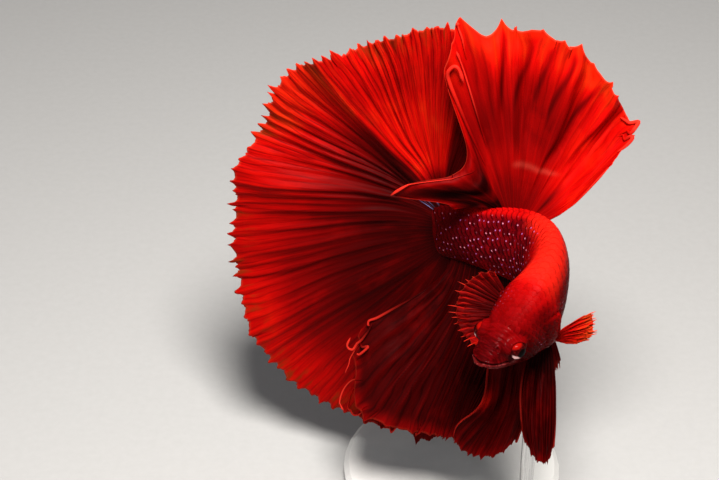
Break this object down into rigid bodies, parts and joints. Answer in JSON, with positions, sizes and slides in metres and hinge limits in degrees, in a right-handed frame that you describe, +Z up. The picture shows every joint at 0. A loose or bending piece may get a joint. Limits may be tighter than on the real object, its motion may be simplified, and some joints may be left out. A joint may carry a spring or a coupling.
{
  "type": "betta fish",
  "caption": "Life-size still model of a red long-finned betta fish turning in a tight curve with its fins spread, held on a thin rod over a flat round base.",
  "frame": {"origin": "centre of the stand base's underside, at floor level", "axes": "+Z up; the head faces -Y and a little -X, the tail fin spreads towards -X"},
  "size_m": [0.063, 0.0474, 0.0837],
  "materials": {
    "skin": "wet-looking red scaled skin, darker crimson with violet spots on the rear flank",
    "fin": "thin translucent red fin with raised rays, more orange towards its edge",
    "eye": "wet black eye with a pale silvery ring",
    "stand_base": "fine-textured off-white paint",
    "stand_rod": "bright drawn steel"
  },
  "bodies": {
    "root": {"head": "skin", "lower_jaw": "skin", "gill_cover_left": "skin", "gill_cover_right": "skin", "trunk_front": "skin", "trunk_rear": "skin", "peduncle": "skin", "eye_left": "eye", "eye_right": "eye", "dorsal_fin": "fin", "anal_fin": "fin", "caudal_fin": "fin", "pelvic_fin_right": "fin", "pelvic_fin_left": "fin", "pectoral_fin_right": "fin", "pectoral_fin_left": "fin", "stand_base": "stand_base", "stand_rod": "stand_rod"}
  },
  "joints": []
}
